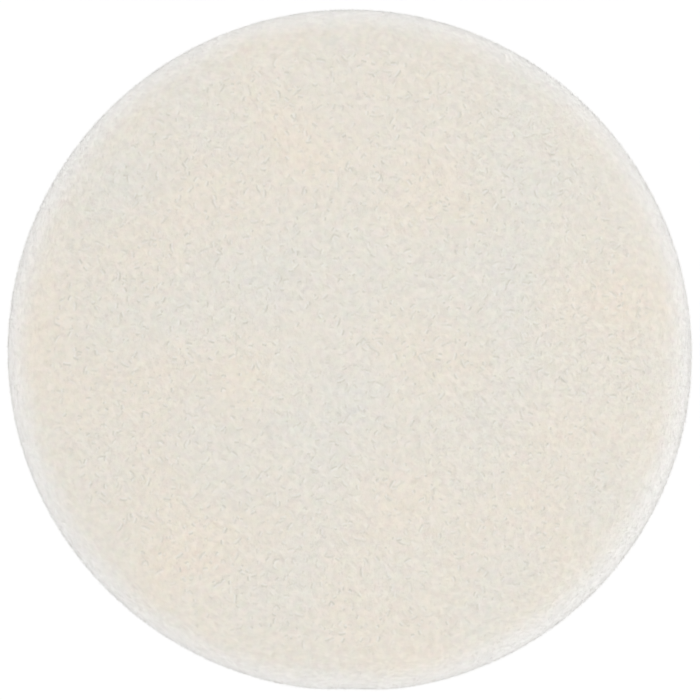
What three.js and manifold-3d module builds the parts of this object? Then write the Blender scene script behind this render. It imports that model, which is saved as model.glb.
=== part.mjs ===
// A round velour powder puff, as the pieces it is sewn from: two velour covers joined by an
// overlocked seam inside the rim, a foam core, a wadding layer under the powder face, and a satin
// band across the back that a finger slips under.
// Units are millimetres and +Z is up. The powder face looks up and the puff lies on its band.
// Each piece is laid out flat about the seam's plane, then bent to the arch in which the taut band
// holds the puff. The band runs straight across the hollow side of that arch.

import * as THREE from 'three';
import { mergeVertices } from 'three/addons/utils/BufferGeometryUtils.js';
import Module from 'manifold-3d';

// Whole puff
const faceDiameter = 80;
const sideHeight = 11.2;
const faceCrown = 1;
const backDish = 0.6;
const rimReach = 6;
const archRadius = 140;
const clearance = 0.3;

// Velour covers
const velourThickness = 1.5;
const flangeThickness = 0.9;
const seamAllowance = 4;
const seamDepth = 2;
const lipHeight = 1.6;
const backInset = 1.1;

// Filling
const waddingEdgeThickness = 0.6;

// Overlocked seam
const seamThreadDiameter = 0.45;
const stitchPitch = 4;
const needleLineInset = 1.2;
const needleWave = 0.1;
const needleShares = { down: 0.25, up: 0.75 };
const looperShares = { turn: 0, out: 0.2, edge: 0.3, back: 0.4 };
const lowerShiftShare = 0.5;

// Closing stretch, at the puff's -Y side
const closingWidth = 26;
const closingThreadDiameter = 0.5;
const ladderRung = 0.9;
const ladderRun = 2.6;
const ladderTurnLength = 0.3;
const ladderInset = 1.2;
const closingDipDepth = 0.3;
const closingDipWidth = 8;

// Finger band
const bandWidth = 18;
const bandThickness = 0.5;
const bandEase = 0.1;

// Outline, as gentle lobes on a circle
const outlineLobes = [
  { count: 2, share: 0.0034, degrees: -25 },
  { count: 3, share: 0.0022, degrees: -43 },
];

// Facets
const turnFacets = 60;
const crownFacets = 4;
const rimFacets = 5;
const lipFacets = 3;
const threadSides = 4;
const closingThreadSides = 6;
const bandColumns = 6;
const bandCornerSteps = 4;
const bandUnderSteps = 9;
const triangleCorners = 3;

// Colours and roughness
const velourColour = 0xe5e1d7;
const velourRoughness = 0.95;
const satinColour = 0xece7dc;
const satinRoughness = 0.35;
const foamColour = 0xf0e8d2;
const foamRoughness = 0.9;
const waddingColour = 0xf5f3ee;
const waddingRoughness = 1;
const threadColour = 0xebe6da;
const threadRoughness = 0.6;

// Worked out from the sizes above
const faceRadius = faceDiameter / 2;
const backRadius = faceRadius - backInset;
const shoulderHeight = sideHeight / 2;
const seamRadius = faceRadius - seamDepth;
const rawEdgeRadius = seamRadius - seamAllowance;
const flangeFace = clearance / 2;
const flangeBack = flangeFace + flangeThickness;
const threadHeight = flangeBack + clearance + seamThreadDiameter / 2;
const threadTop = threadHeight + needleWave + seamThreadDiameter / 2;
const edgeThreadRadius = rawEdgeRadius - clearance - seamThreadDiameter / 2;
const needleRadius = seamRadius - needleLineInset;
const looperTurnRadius = needleRadius - seamThreadDiameter - clearance;
const fillingInset = velourThickness + clearance;
const waddingBottom = shoulderHeight - fillingInset - waddingEdgeThickness;
const foamTop = waddingBottom - clearance;
const foamBottom = fillingInset - shoulderHeight;
const grooveWall = threadTop + clearance;
const grooveRadius = edgeThreadRadius - seamThreadDiameter / 2 - clearance;
const closingHalfAngle = Math.asin(closingWidth / 2 / faceRadius);
const closingMiddle = -Math.PI / 2;

const wasm = await Module();
wasm.setup();

// How far the outline stands from the plain circle in one direction, as a factor on the radius.
function outlineFactor(angle) {
  let factor = 1;
  for (const lobe of outlineLobes) {
    factor += lobe.share * Math.cos(lobe.count * (angle - THREE.MathUtils.degToRad(lobe.degrees)));
  }
  const fromClosing = Math.atan2(Math.cos(angle), -Math.sin(angle));
  const arc = (fromClosing * faceRadius) / (closingDipWidth / 2);
  return factor - (closingDipDepth / faceRadius) * Math.exp(-arc * arc);
}

// Bends a flat point about the Y direction. Seen from above, the rim's widest line keeps its place.
function bent(point) {
  const factor = outlineFactor(Math.atan2(point.y, point.x));
  const turn = Math.asin((point.x * factor) / (archRadius + lipHeight));
  const radius = archRadius + point.z;
  return new THREE.Vector3(radius * Math.sin(turn), point.y * factor, radius * Math.cos(turn) - archRadius);
}

function quarterArc(centre, reach, fromDegrees, toDegrees, steps) {
  const points = [];
  for (let step = 0; step <= steps; step += 1) {
    const angle = THREE.MathUtils.degToRad(THREE.MathUtils.lerp(fromDegrees, toDegrees, step / steps));
    const offset = new THREE.Vector2(Math.cos(angle), Math.sin(angle)).multiply(reach);
    points.push(offset.add(centre));
  }
  return points;
}

// A surface from the middle out to a radius, raised in the middle by a crown and level at both ends.
function crownCurve(radius, height, crown, steps) {
  const points = [];
  for (let step = 0; step <= steps; step += 1) {
    const share = step / steps;
    const rise = (crown * (1 + Math.cos(Math.PI * share))) / 2;
    points.push(new THREE.Vector2(radius * share, height + rise));
  }
  return points;
}

// The rolled rim of a cover at some depth under its surface, from the widest line up to the shoulder.
function rimArc(radius, depth, steps) {
  const centre = new THREE.Vector2(radius - rimReach, lipHeight);
  const reach = new THREE.Vector2(rimReach - depth, shoulderHeight - lipHeight - depth);
  return quarterArc(centre, reach, 0, 90, steps);
}

// The radius at which that same curve passes a height.
function rimRadiusAt(radius, depth, height) {
  const rise = (height - lipHeight) / (shoulderHeight - lipHeight - depth);
  return radius - rimReach + (rimReach - depth) * Math.sqrt(1 - rise * rise);
}

// The section of the upper cover, from its inner face's middle round the rim to its outer middle.
function coverProfile(radius, crown) {
  const shoulderRadius = radius - rimReach;
  const foldRadius = Math.min(seamRadius, radius - velourThickness);
  const lipCentre = new THREE.Vector2(seamRadius, lipHeight);
  const lipReach = new THREE.Vector2(radius - seamRadius, lipHeight - flangeFace);
  const innerHeight = shoulderHeight - velourThickness;
  return [
    ...crownCurve(shoulderRadius, innerHeight, crown, crownFacets),
    ...rimArc(radius, velourThickness, lipFacets).reverse().slice(1),
    new THREE.Vector2(foldRadius, flangeBack),
    new THREE.Vector2(rawEdgeRadius, flangeBack),
    new THREE.Vector2(rawEdgeRadius, flangeFace),
    ...quarterArc(lipCentre, lipReach, -90, 0, lipFacets),
    ...rimArc(radius, 0, rimFacets).slice(1),
    ...crownCurve(shoulderRadius, shoulderHeight, crown, crownFacets).reverse().slice(1),
  ];
}

// The same kind of section, turned over for the underside.
function turnedOver(profile) {
  return profile.map((point) => new THREE.Vector2(point.x, -point.y)).reverse();
}

function foamProfile() {
  const lowerSide = turnedOver(rimArc(backRadius, fillingInset, rimFacets));
  const upperSide = rimArc(faceRadius, fillingInset, rimFacets);
  return [
    ...crownCurve(backRadius - rimReach, foamBottom, backDish, crownFacets),
    ...lowerSide.filter((point) => point.y < -grooveWall).slice(1),
    new THREE.Vector2(rimRadiusAt(backRadius, fillingInset, grooveWall), -grooveWall),
    new THREE.Vector2(grooveRadius, -grooveWall),
    new THREE.Vector2(grooveRadius, grooveWall),
    new THREE.Vector2(rimRadiusAt(faceRadius, fillingInset, grooveWall), grooveWall),
    ...upperSide.filter((point) => point.y > grooveWall && point.y < foamTop),
    new THREE.Vector2(rimRadiusAt(faceRadius, fillingInset, foamTop), foamTop),
    ...crownCurve(faceRadius - rimReach, foamTop, 0, crownFacets).reverse(),
  ];
}

function waddingProfile() {
  const edge = faceRadius - rimReach;
  return [
    ...crownCurve(edge, waddingBottom, 0, crownFacets),
    new THREE.Vector2(edge + waddingEdgeThickness / 2, waddingBottom + waddingEdgeThickness / 2),
    ...crownCurve(edge, waddingBottom + waddingEdgeThickness, faceCrown, crownFacets).reverse(),
  ];
}

// Welds a geometry into one closed skin and drops the triangles that have no area.
function welded(geometry) {
  geometry.deleteAttribute('normal');
  geometry.deleteAttribute('uv');
  const merged = mergeVertices(geometry);
  const kept = [];
  for (let first = 0; first < merged.index.count; first += triangleCorners) {
    const [a, b, c] = [0, 1, 2].map((offset) => merged.index.getX(first + offset));
    if (a !== b && b !== c && c !== a) {
      kept.push(a, b, c);
    }
  }
  merged.setIndex(kept);
  return merged;
}

// Moves every vertex of a flat piece to its place in the arched puff.
function arched(geometry) {
  const skin = welded(geometry);
  const position = skin.getAttribute('position');
  const point = new THREE.Vector3();
  for (let vertex = 0; vertex < position.count; vertex += 1) {
    const place = bent(point.fromBufferAttribute(position, vertex));
    position.setXYZ(vertex, place.x, place.y, place.z + lift);
  }
  return skin;
}

function turnedPiece(profile) {
  return arched(new THREE.LatheGeometry(profile, turnFacets).rotateX(Math.PI / 2));
}

// A run of thread that is sampled at its own corners.
class StitchCurve extends THREE.Curve {
  constructor(corners) {
    super();
    this.corners = corners;
  }

  getPoint(share) {
    const last = this.corners.length - 1;
    const first = THREE.MathUtils.clamp(Math.floor(share * last), 0, last - 1);
    return this.corners[first].clone().lerp(this.corners[first + 1], share * last - first);
  }

  getPointAt(share) {
    return this.getPoint(share);
  }

  getTangentAt(share) {
    return this.getTangent(share);
  }
}

function threadPiece(corners, diameter, sides) {
  const section = new THREE.Shape();
  for (let side = 0; side < sides; side += 1) {
    const angle = (2 * Math.PI * side) / sides;
    const corner = [(diameter / 2) * Math.cos(angle), (diameter / 2) * Math.sin(angle)];
    if (side === 0) {
      section.moveTo(...corner);
    } else {
      section.lineTo(...corner);
    }
  }
  const path = new StitchCurve(corners);
  const options = { steps: corners.length - 1, bevelEnabled: false, extrudePath: path };
  return arched(new THREE.ExtrudeGeometry(section, options));
}

function polar(radius, angle, height) {
  return new THREE.Vector3(radius * Math.cos(angle), radius * Math.sin(angle), height);
}

// Runs along the overlocked seam, from one end of the closing stretch round to the other. Each
// stitch repeats the same corners, which stand at shares of the stitch along the seam.
function seamRoute(stitchCorners) {
  const start = closingMiddle + closingHalfAngle;
  const sweep = 2 * Math.PI - 2 * closingHalfAngle;
  const stitches = Math.round((sweep * rawEdgeRadius) / stitchPitch);
  const route = [];
  for (let stitch = 0; stitch < stitches; stitch += 1) {
    for (const corner of stitchCorners) {
      const angle = start + (sweep * (stitch + corner.alongShare)) / stitches;
      route.push(polar(corner.radius, angle, corner.height));
    }
  }
  return route;
}

function needleStitch() {
  return [
    { alongShare: needleShares.down, radius: needleRadius, height: threadHeight },
    { alongShare: needleShares.up, radius: needleRadius, height: threadHeight + needleWave },
  ];
}

// From the needle line over the raw edge and back, on one side of the seam's plane.
function looperStitch(side, shiftShare) {
  const { turn, out, edge, back } = looperShares;
  const face = side * threadHeight;
  const overEdge = side * (flangeFace + seamThreadDiameter / 2);
  return [
    { alongShare: shiftShare + turn, radius: looperTurnRadius, height: face },
    { alongShare: shiftShare + out, radius: edgeThreadRadius, height: face },
    { alongShare: shiftShare + edge, radius: edgeThreadRadius, height: overEdge },
    { alongShare: shiftShare + back, radius: edgeThreadRadius, height: face },
  ];
}

// Runs along one cover's fold and rungs across the seam to the other. The two ends can reach further.
function ladderRoute(extraReach) {
  const radius = faceRadius - ladderInset;
  const runs = Math.round(closingWidth / ladderRun);
  const route = [];
  for (let run = 0; run < runs; run += 1) {
    const height = (run % 2 === 0 ? ladderRung : -ladderRung) / 2;
    const middle = (run + 0.5 - runs / 2) * ladderRun;
    const from = middle - ladderRun / 2 + (run === 0 ? -extraReach : ladderTurnLength);
    const to = middle + ladderRun / 2 - (run === runs - 1 ? -extraReach : ladderTurnLength);
    for (const along of [from, to]) {
      route.push(polar(radius, closingMiddle + along / radius, height));
    }
  }
  return route;
}

// The band's middle line in the flat layout, from its tucked end round the back cover's rim.
function bandSection() {
  const standOff = clearance + bandThickness / 2 + bandEase;
  const cornerCentre = new THREE.Vector2(seamRadius, -lipHeight);
  const cornerReach = new THREE.Vector2(backRadius + standOff - seamRadius, lipHeight);
  const underCentre = new THREE.Vector2(backRadius - rimReach, -lipHeight);
  const underReach = new THREE.Vector2(rimReach, shoulderHeight - lipHeight).addScalar(standOff);
  return {
    corner: quarterArc(cornerCentre, cornerReach, 90, 0, bandCornerSteps),
    under: quarterArc(underCentre, underReach, 0, -90, bandUnderSteps).slice(1),
  };
}

// One end of the band before the puff is lifted, as rows across its width, from the tucked edge out.
// It follows the round seam, and comes off the rim level at the band's lowest line.
function bandEnd(side, width, tuckRadius) {
  const across = (point, y) => {
    const x = side * Math.sqrt(point.x * point.x - y * y);
    return bent(new THREE.Vector3(x, y, point.y));
  };
  const { corner, under } = bandSection();
  const heights = under.map((point) => across(point, 0).z);
  const kept = under.slice(0, heights.indexOf(Math.min(...heights)) + 1);
  const stations = [
    { point: new THREE.Vector2(tuckRadius, 0), levelShare: 0 },
    ...corner.map((point) => ({ point, levelShare: 0 })),
    ...kept.map((point, step) => ({ point, levelShare: (step + 1) / kept.length })),
  ];
  return stations.map(({ point, levelShare }) => {
    const row = [];
    for (let column = 0; column <= bandColumns; column += 1) {
      const place = across(point, width * (column / bandColumns - 0.5));
      place.z = THREE.MathUtils.lerp(place.z, across(point, 0).z, levelShare);
      row.push(place);
    }
    return row;
  });
}

function lowestOf(rows) {
  return Math.min(...rows.flat().map((place) => place.z));
}

// Before the lift, the band's straight stretch lies at this height.
const bandLevel = Math.min(...[1, -1].map((side) => lowestOf(bandEnd(side, bandWidth, rawEdgeRadius))));

// Raises the arched puff until the band's underside is at height zero.
const lift = bandThickness / 2 - bandLevel;

// The whole band's middle surface, its right end first, level between the two rims.
function bandRows(width, tuckRadius) {
  const right = bandEnd(1, width, tuckRadius);
  const left = bandEnd(-1, width, tuckRadius).reverse();
  for (const place of [...right.at(-1), ...left[0]]) {
    place.z = bandLevel;
  }
  const rows = [...right, ...left];
  for (const place of rows.flat()) {
    place.z += lift;
  }
  return rows;
}

// A closed sheet of one thickness about a grid of places.
function sheetPiece(rows, thickness) {
  const rowCount = rows.length;
  const columnCount = rows[0].length;
  const corners = [];
  const faces = [];
  const within = (value, count) => THREE.MathUtils.clamp(value, 0, count - 1);
  const at = (row, column) => rows[within(row, rowCount)][within(column, columnCount)];
  for (const side of [1, -1]) {
    for (let row = 0; row < rowCount; row += 1) {
      for (let column = 0; column < columnCount; column += 1) {
        const along = at(row + 1, column).clone().sub(at(row - 1, column));
        const across = at(row, column + 1).clone().sub(at(row, column - 1));
        const normal = along.cross(across).normalize();
        corners.push(...at(row, column).clone().addScaledVector(normal, (side * thickness) / 2).toArray());
      }
    }
  }
  const front = (row, column) => row * columnCount + column;
  const back = (row, column) => front(row, column) + rowCount * columnCount;
  const quad = (a, b, c, d) => faces.push(a, b, c, a, c, d);
  for (let row = 0; row + 1 < rowCount; row += 1) {
    for (let column = 0; column + 1 < columnCount; column += 1) {
      quad(front(row, column), front(row + 1, column), front(row + 1, column + 1), front(row, column + 1));
      quad(back(row, column), back(row, column + 1), back(row + 1, column + 1), back(row + 1, column));
    }
    quad(front(row, 0), back(row, 0), back(row + 1, 0), front(row + 1, 0));
    const far = columnCount - 1;
    quad(front(row, far), front(row + 1, far), back(row + 1, far), back(row, far));
  }
  for (let column = 0; column + 1 < columnCount; column += 1) {
    quad(front(0, column), front(0, column + 1), back(0, column + 1), back(0, column));
    const last = rowCount - 1;
    quad(front(last, column), back(last, column), back(last, column + 1), front(last, column + 1));
  }
  const geometry = new THREE.BufferGeometry();
  geometry.setAttribute('position', new THREE.Float32BufferAttribute(corners, 3));
  geometry.setIndex(faces);
  return geometry;
}

function toManifold(geometry) {
  return new wasm.Manifold(
    new wasm.Mesh({
      numProp: 3,
      vertProperties: new Float32Array(geometry.getAttribute('position').array),
      triVerts: new Uint32Array(geometry.index.array),
    })
  );
}

// Cuts room for other pieces out of a closed geometry.
function cutFor(geometry, cutters) {
  let solid = toManifold(geometry);
  for (const cutter of cutters) {
    solid = solid.subtract(toManifold(cutter));
  }
  const result = solid.getMesh();
  const cut = new THREE.BufferGeometry();
  cut.setAttribute('position', new THREE.Float32BufferAttribute(result.vertProperties, result.numProp));
  cut.setIndex([...result.triVerts]);
  return cut;
}

function namedMesh(name, geometry, colour, roughness) {
  geometry.computeVertexNormals();
  const material = new THREE.MeshStandardMaterial({ color: colour, roughness, metalness: 0 });
  const mesh = new THREE.Mesh(geometry, material);
  mesh.name = name;
  return mesh;
}

const bandRoom = sheetPiece(
  bandRows(bandWidth + 2 * clearance, rawEdgeRadius - clearance),
  bandThickness + 2 * clearance
);
const ladderRoom = threadPiece(
  ladderRoute(clearance),
  closingThreadDiameter + 2 * clearance,
  closingThreadSides
);
const frontSkin = turnedPiece(coverProfile(faceRadius, faceCrown));
const backSkin = turnedPiece(turnedOver(coverProfile(backRadius, -backDish)));

const frontCover = namedMesh(
  'front_cover',
  cutFor(frontSkin, [bandRoom, ladderRoom]),
  velourColour,
  velourRoughness
);
const backCover = namedMesh(
  'back_cover',
  cutFor(backSkin, [bandRoom, ladderRoom]),
  velourColour,
  velourRoughness
);
const foamCore = namedMesh('foam_core', turnedPiece(foamProfile()), foamColour, foamRoughness);
const faceWadding = namedMesh(
  'face_wadding',
  turnedPiece(waddingProfile()),
  waddingColour,
  waddingRoughness
);
const needleThread = namedMesh(
  'seam_needle_thread',
  threadPiece(seamRoute(needleStitch()), seamThreadDiameter, threadSides),
  threadColour,
  threadRoughness
);
const upperLooper = namedMesh(
  'upper_looper_thread',
  threadPiece(seamRoute(looperStitch(1, 0)), seamThreadDiameter, threadSides),
  threadColour,
  threadRoughness
);
const lowerLooper = namedMesh(
  'lower_looper_thread',
  threadPiece(seamRoute(looperStitch(-1, lowerShiftShare)), seamThreadDiameter, threadSides),
  threadColour,
  threadRoughness
);
const closingThread = namedMesh(
  'closing_thread',
  threadPiece(ladderRoute(0), closingThreadDiameter, closingThreadSides),
  threadColour,
  threadRoughness
);
const fingerBand = namedMesh(
  'finger_band',
  sheetPiece(bandRows(bandWidth, rawEdgeRadius), bandThickness),
  satinColour,
  satinRoughness
);

const puff = new THREE.Group();
puff.add(frontCover, backCover, foamCore, faceWadding);
puff.add(needleThread, upperLooper, lowerLooper, closingThread, fingerBand);

// The origin is under the middle of the puff, at the level it lies on.
const middle = new THREE.Box3().setFromObject(puff).getCenter(new THREE.Vector3());
for (const mesh of puff.children) {
  mesh.position.set(-middle.x, -middle.y, 0);
}

export default puff;
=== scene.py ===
# The looks of a round velour powder puff: its piled covers, foam, wadding, seam threads and satin band.
# Lengths are metres and +Z is up. The powder face looks up and the puff lies on its band.
# As in the CAD model, a piece is laid out flat about the seam's plane, then bent to the puff's arch.

import math

import bpy
import numpy as np
from mathutils import Matrix, Vector


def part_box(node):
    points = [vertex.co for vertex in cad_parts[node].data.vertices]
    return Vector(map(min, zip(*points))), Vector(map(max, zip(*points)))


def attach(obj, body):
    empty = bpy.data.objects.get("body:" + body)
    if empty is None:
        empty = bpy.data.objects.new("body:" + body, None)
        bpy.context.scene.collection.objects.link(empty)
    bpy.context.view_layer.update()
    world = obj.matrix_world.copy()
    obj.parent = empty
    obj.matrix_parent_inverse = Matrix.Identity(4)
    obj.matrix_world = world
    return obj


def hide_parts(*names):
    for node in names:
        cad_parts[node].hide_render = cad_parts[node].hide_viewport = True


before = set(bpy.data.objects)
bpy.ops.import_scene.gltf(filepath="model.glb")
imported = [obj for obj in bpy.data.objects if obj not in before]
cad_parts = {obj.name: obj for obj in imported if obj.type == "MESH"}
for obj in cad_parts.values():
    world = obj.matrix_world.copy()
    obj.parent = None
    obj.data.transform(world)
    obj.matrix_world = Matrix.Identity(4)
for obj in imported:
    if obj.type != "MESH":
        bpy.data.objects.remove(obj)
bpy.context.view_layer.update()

# Sizes of the puff, which repeat the CAD model's
MM = 0.001
FACE_RADIUS = 40 * MM
BACK_RADIUS = 38.9 * MM
SHOULDER_HEIGHT = 5.6 * MM
FACE_CROWN = 1 * MM
BACK_DISH = 0.6 * MM
RIM_REACH = 6 * MM
ARCH_RADIUS = 140 * MM
LIP_HEIGHT = 1.6 * MM
CLEARANCE = 0.3 * MM
VELOUR_THICKNESS = 1.5 * MM
FLANGE_THICKNESS = 0.9 * MM
SEAM_RADIUS = 38 * MM
RAW_EDGE_RADIUS = 34 * MM
FLANGE_FACE = CLEARANCE / 2
CLOSING_DIP = 0.3 * MM
CLOSING_DIP_WIDTH = 8 * MM
OUTLINE_LOBES = ((2, 0.0034, -25), (3, 0.0022, -43))

# The velour, its pile, and the cloth under the pile
PILE_GAP = 0.125 * MM
BACK_PILE_GAP = 0.165 * MM
PILE_LENGTH = 0.3 * MM
PILE_WIDTH = 0.06 * MM
PILE_FLATNESS = 0.6
PILE_LEAN = 3.0
PILE_STRAY = 1.0
LEAST_LENGTH_SHARE = 0.85
GREATEST_LENGTH_SHARE = 1.05
LOCK_SIZE = 0.9 * MM
PILE_UPLIGHT = 0.8
SEAM_PILE_SHARE = 0.4
FACE_PARTS = 6
BACK_PARTS = 4
CLOTH_DEPTH = 0.2 * MM
CLOTH_THICKNESS = 0.6 * MM
CLOTH_CELLS = 160

# Longer hairs near the rim, which stand tallest at one distance from the seam
HAIR_GAP = 0.42 * MM
HAIR_LENGTH = 0.6 * MM
HAIR_WIDTH = 0.035 * MM
HAIR_FLATNESS = 1.0
HAIR_LEAN = 1.0
HAIR_STRAY = 0.6
HAIR_MIDDLE = 4 * MM
HAIR_SPREAD = 2.5 * MM
HAIR_START = 1 * MM
LEAST_HAIR_SHARE = 0.05
HAIR_SEED_STEP = 20

# A strand: the corners and faces of a slim cone, and how many places are tried in a square of the gap
STRAND_CORNERS = 4
STRAND_FACES = np.array([(1, 2, 0), (2, 3, 0), (3, 1, 0), (3, 2, 1)])
PLACES_TRIED = 1.4

# How the filling presses the covers out: by a cloth simulation on an enlarged trial piece
PRESSED_OUT = 0.15 * MM
TRIAL_SCALE = 100
TRIAL_PRESSURE = 4
TRIAL_FRAMES = 20

# Filling
FILLING_INSET = VELOUR_THICKNESS + CLEARANCE
WADDING_EDGE = 0.6 * MM
WADDING_BOTTOM = SHOULDER_HEIGHT - FILLING_INSET - WADDING_EDGE
FOAM_TOP = WADDING_BOTTOM - CLEARANCE
FOAM_BOTTOM = FILLING_INSET - SHOULDER_HEIGHT

# Seam threads
THREAD_DIAMETER = 0.45 * MM
STITCH_PITCH = 4 * MM
NEEDLE_WAVE = 0.1 * MM
NEEDLE_INSET = 1.2 * MM
THREAD_HEIGHT = FLANGE_FACE + FLANGE_THICKNESS + CLEARANCE + THREAD_DIAMETER / 2
EDGE_THREAD_RADIUS = RAW_EDGE_RADIUS - CLEARANCE - THREAD_DIAMETER / 2
NEEDLE_RADIUS = SEAM_RADIUS - NEEDLE_INSET
LOOPER_TURN_RADIUS = NEEDLE_RADIUS - THREAD_DIAMETER - CLEARANCE
LOOPER_SHARES = (0.0, 0.2, 0.3, 0.4)
LOOPER_SHIFT = 0.5
NEEDLE_SHARES = (0.25, 0.75)
TWIST_LENGTH = 1.6 * MM
GROOVE_WALL = THREAD_HEIGHT + NEEDLE_WAVE + THREAD_DIAMETER / 2 + CLEARANCE
GROOVE_RADIUS = EDGE_THREAD_RADIUS - THREAD_DIAMETER / 2 - CLEARANCE

# Closing stretch
CLOSING_WIDTH = 26 * MM
CLOSING_THREAD_DIAMETER = 0.5 * MM
LADDER_RUNG = 0.9 * MM
LADDER_RUN = 2.6 * MM
LADDER_TURN = 0.3 * MM
LADDER_INSET = 1.2 * MM
CLOSING_MIDDLE = -math.pi / 2
CLOSING_HALF_ANGLE = math.asin(CLOSING_WIDTH / 2 / FACE_RADIUS)

# Band
BAND_WIDTH = 18 * MM
BAND_THICKNESS = 0.5 * MM
BAND_EASE = 0.1 * MM
BAND_PRESSED = 0.02 * MM
BAND_STAND_OFF = CLEARANCE + BAND_THICKNESS / 2 + BAND_EASE
BAND_SIDE_ROOM = 2 * MM
BAND_SIDE_FADE = 1 * MM

# Fineness
SECTION_STEPS = 60
OUTLINE_STEPS = 720
BAND_TUCK_STEPS = 24
BAND_TURN_STEPS = 40
BAND_MIDDLE_STEPS = 120
BAND_COLUMNS = 48
TURN_STEPS = 180
THREAD_STEP = 0.15 * MM
PLY_SIDES = 8
ROUNDING_STEPS = 6

# Patterns in the materials
DRIFT_SIZE = 14 * MM
FLECK_SIZE = 1.1 * MM
GRAIN_SIZE = 0.7 * MM
GRAIN_RANGE = (0.3, 0.7)
# The rim's painted highlight grows from the start to the end, and the creases fade out before the start
RIM_START = 0.91 * FACE_RADIUS
RIM_END = FACE_RADIUS
FLAT_FACE_SHARE = 0.93
# Creases where the pile parts, which carry painted shade and a painted highlight beside each
CREASE_SPACINGS = (1.7 * MM, 1.05 * MM)
CREASE_LENGTH_SHARE = 0.7
CREASE_WIDTH = 0.4 * MM
CREASE_BOW = 0.2
HALF_LENGTH_SHARES = (0.25, 0.6)
CREASE_TAPER_SHARE = 0.5
CREASE_FAINTNESS = 1.3
CREASE_HIGHLIGHT_SHARE = 0.5
MAP_MARGIN = 2 * MM
WARP_WIDTH = 0.14 * MM
FLOAT_LENGTH = 0.8 * MM
FLOAT_SHIFT_SHARE = 0.375
FLOAT_FLATNESS = 0.4
SELVEDGE_WIDTH = 0.8 * MM
SELVEDGE_SLOPE = 0.3 * MM
SELVEDGE_RISE = 2.5
SATIN_DEPTH = 0.05 * MM
FIBRE_SIZE = 0.08 * MM
FIBRE_DEPTH = 0.02 * MM
FOAM_CELL_SIZE = 0.55 * MM
FOAM_CELL_DEPTH = 0.2 * MM
FOAM_WALL_RANGE = (0.25, 0.6)
TANGLE_SIZE = 6 * MM
TANGLE_REACH = 9 * MM
STREAK_SIZE = 0.45 * MM
STREAK_DEPTH = 0.12 * MM
STREAK_RANGE = (0.35, 0.65)

# Colours, as red, green and blue on a screen, from 0 to 255
PILE_COLOUR = (248, 241, 230)
# A little darker than the pile: painted shade for the cloth that lies under it
CLOTH_COLOUR = (246, 240, 228)
# Painted shade in the creases where the pile parts, and a painted highlight along each crease's edge
CREASE_SHADE_COLOUR = (227, 223, 210)
CREASE_HIGHLIGHT_COLOUR = (253, 251, 246)
# A paler, greyer painted highlight at the rim, standing in for the light that the pile's sides catch there
RIM_HIGHLIGHT_COLOUR = (254, 252, 248)
SATIN_COLOUR = (240, 236, 226)
THREAD_COLOUR = (238, 234, 224)
FOAM_COLOUR = (240, 231, 208)
# Painted shade down in the foam's cells
FOAM_CELL_SHADE_COLOUR = (228, 218, 192)
FIBRE_COLOUR = (248, 247, 243)
# Painted shade on the wadding's lower fibres
LOWER_FIBRE_SHADE_COLOUR = (226, 223, 215)

# Stage: the sky's light from the horizon up, lamps as place, size and power, the floor and the camera
HORIZON_LIGHT = 1.64
ZENITH_LIGHT = 0.4
SOFTBOXES = {
    "right softbox": ((0.8, -0.2, 0.6), 0.7, 0.87),
    "top softbox": ((-0.15, 0.1, 1.0), 0.8, 1.25),
}
FLOOR_REACH = 8
FLOOR_PAINT = 0.9
FLOOR_GLOW_SEEN = 0.9
FLOOR_PAINT_SEEN = 0.12
CAMERA_DISTANCE = 1.2
SENSOR_WIDTH = 36
PICTURE_PIXELS = 700
FACE_PIXELS = 686.2
CAMERA_SHIFT_PIXELS = (0.29, -0.51)


# Shapes in the flat layout

def outline_factor(angle):
    """How far the outline stands from the plain circle in one direction, as a factor on the radius."""
    factor = np.ones_like(angle)
    for count, share, degrees in OUTLINE_LOBES:
        factor += share * np.cos(count * (angle - math.radians(degrees)))
    from_closing = np.arctan2(np.cos(angle), -np.sin(angle))
    arc = from_closing * FACE_RADIUS / (CLOSING_DIP_WIDTH / 2)
    return factor - CLOSING_DIP / FACE_RADIUS * np.exp(-arc * arc)


def arched(points):
    """Bends rows of flat x, y, z about the Y direction. Seen from above, the widest line stays in place."""
    x, y, z = np.asarray(points, float).T
    factor = outline_factor(np.arctan2(y, x))
    turn = np.arcsin(x * factor / (ARCH_RADIUS + LIP_HEIGHT))
    radius = ARCH_RADIUS + z
    return np.column_stack([radius * np.sin(turn), y * factor, radius * np.cos(turn) - ARCH_RADIUS])


def around(radius, angle, height):
    return np.column_stack([radius * np.cos(angle), radius * np.sin(angle), height + 0 * angle])


def placing():
    """The move that brings the arched layout to where the CAD model stands."""
    outline = arched(around(FACE_RADIUS, np.linspace(0, 2 * np.pi, OUTLINE_STEPS + 1), LIP_HEIGHT))
    middle = (outline.min(axis=0) + outline.max(axis=0)) / 2
    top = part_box("front_cover")[1].z
    return np.array([-middle[0], -middle[1], top - SHOULDER_HEIGHT - FACE_CROWN])


PLACE = placing()


def placed(points):
    return arched(points) + PLACE


def quarter_arc(centre, reach, start, end, steps):
    angle = np.radians(np.linspace(start, end, steps + 1))
    return np.column_stack([centre[0] + reach[0] * np.cos(angle), centre[1] + reach[1] * np.sin(angle)])


def crown_curve(radius, height, crown, steps):
    share = np.linspace(0, 1, steps + 1)
    return np.column_stack([radius * share, height + crown * (1 + np.cos(np.pi * share)) / 2])


def rim_arc(radius, depth, steps):
    centre = (radius - RIM_REACH, LIP_HEIGHT)
    reach = (RIM_REACH - depth, SHOULDER_HEIGHT - LIP_HEIGHT - depth)
    return quarter_arc(centre, reach, 90, 0, steps)


def rim_radius_at(radius, depth, height):
    """The radius at which the rim's curve passes a height."""
    rise = (height - LIP_HEIGHT) / (SHOULDER_HEIGHT - LIP_HEIGHT - depth)
    return radius - RIM_REACH + (RIM_REACH - depth) * math.sqrt(1 - rise * rise)


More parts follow.
